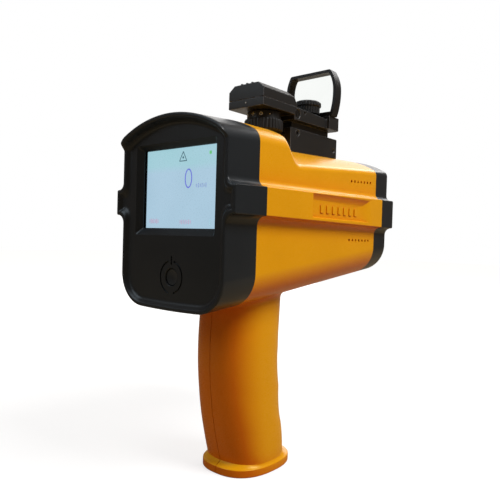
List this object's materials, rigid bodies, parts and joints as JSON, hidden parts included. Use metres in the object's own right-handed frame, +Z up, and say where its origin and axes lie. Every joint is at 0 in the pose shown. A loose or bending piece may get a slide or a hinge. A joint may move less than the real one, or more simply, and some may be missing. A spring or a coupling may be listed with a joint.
{
  "type": "handheld laser gas leak detector",
  "caption": "Pistol-grip optical gas detector with rear colour screen, power key, tapered clamshell body, front lens cap and an open reflex sight on a riser rail.",
  "frame": {"origin": "centre of the flat foot under the grip", "axes": "+Z up, +Y forward along the beam (towards the lens), +X to the user's right"},
  "size_m": [0.095, 0.1824, 0.2606],
  "materials": {
    "housing_orange": "satin moulded",
    "bezel_black": "satin moulded",
    "clear_glass": "polished",
    "coated_glass": "polished, coated",
    "soft_black": "matte",
    "screen": "lit colour screen",
    "bright_steel": "bright",
    "dark_steel": "blackened",
    "circuit_board": "solder mask",
    "chip_black": "moulded",
    "bare_aluminium": "milled",
    "sight_black": "matt anodised",
    "brass": "turned",
    "emitter": "moulded",
    "cell_wrap": "shrink wrap",
    "moulded_black": "moulded"
  },
  "bodies": {
    "housing": {"housing_right": "housing_orange", "housing_left": "housing_orange", "rear_bezel": "bezel_black", "front_ring": "bezel_black", "display_window": "clear_glass", "display_gasket": "soft_black", "lcd_panel": "screen", "lcd_frame": "bright_steel", "main_board": "circuit_board", "board_standoffs": "bright_steel", "board_chips": "chip_black", "key_board": "circuit_board", "power_switch": "chip_black", "chassis": "bare_aluminium", "optics_tube": "sight_black", "receiver_lens": "clear_glass", "lens_retainer": "sight_black", "front_window": "clear_glass", "front_seal": "soft_black", "aperture_windows": "clear_glass", "detector_board": "circuit_board", "detector_can": "bright_steel", "laser_module": "bare_aluminium", "collimator_lens": "clear_glass", "pointer_laser": "brass", "battery_cells": "cell_wrap", "battery_holder": "moulded_black", "battery_contacts": "bright_steel", "base_cover": "housing_orange", "base_screws": "bright_steel", "charge_socket": "bright_steel", "trigger_spring": "bright_steel", "trigger_bracket": "moulded_black", "trigger_switch": "chip_black", "buzzer": "chip_black", "housing_screws": "bright_steel", "bezel_screws": "bright_steel", "ring_screws": "bright_steel", "rail": "sight_black", "rail_screws": "bright_steel", "clamp_screws": "dark_steel", "sight_base": "sight_black", "sight_cover": "sight_black", "cover_screws": "bright_steel", "sight_hood": "sight_black", "sight_lens": "coated_glass", "sight_emitter": "emitter", "lock_screw": "dark_steel"},
    "power_button": {"power_button": "bezel_black"},
    "trigger": {"trigger": "bezel_black"},
    "reticle_dial": {"reticle_dial": "sight_black", "dial_screw": "bright_steel"},
    "brightness_knob": {"brightness_knob": "sight_black", "battery_cap": "sight_black", "coin_cell": "bright_steel"},
    "windage_screw": {"windage_screw": "dark_steel"},
    "elevation_screw": {"elevation_screw": "dark_steel"}
  },
  "joints": [
    {"name": "power_button_press", "type": "slide", "parent": "housing", "child": "power_button", "axis": [0, 1, 0], "range_m": [0, 0.0008], "stiffness_N_per_m": 1200, "springref_m": -0.0004},
    {"name": "trigger_pull", "type": "slide", "parent": "housing", "child": "trigger", "axis": [0, -1, 0], "range_m": [0, 0.0025], "stiffness_N_per_m": 900, "springref_m": -0.0015, "deforming": ["trigger_spring"]},
    {"name": "reticle_select", "type": "hinge", "parent": "housing", "child": "reticle_dial", "pos_m": [0, 0.008, 0.215], "axis": [0, 0, 1], "range_deg": [-60, 30]},
    {"name": "brightness_turn", "type": "hinge", "parent": "housing", "child": "brightness_knob", "pos_m": [0.0042, 0.0498, 0.23], "axis": [0, 0, 1], "range_deg": [0, 300]},
    {"name": "windage_turn", "type": "hinge", "parent": "housing", "child": "windage_screw", "pos_m": [0.012, 0.025, 0.2226], "axis": [1, 0, 0], "range_deg": [-360, 360]},
    {"name": "elevation_turn", "type": "hinge", "parent": "housing", "child": "elevation_screw", "pos_m": [0, 0.0305, 0.2244], "axis": [0, 0, 1], "range_deg": [-360, 360]}
  ]
}
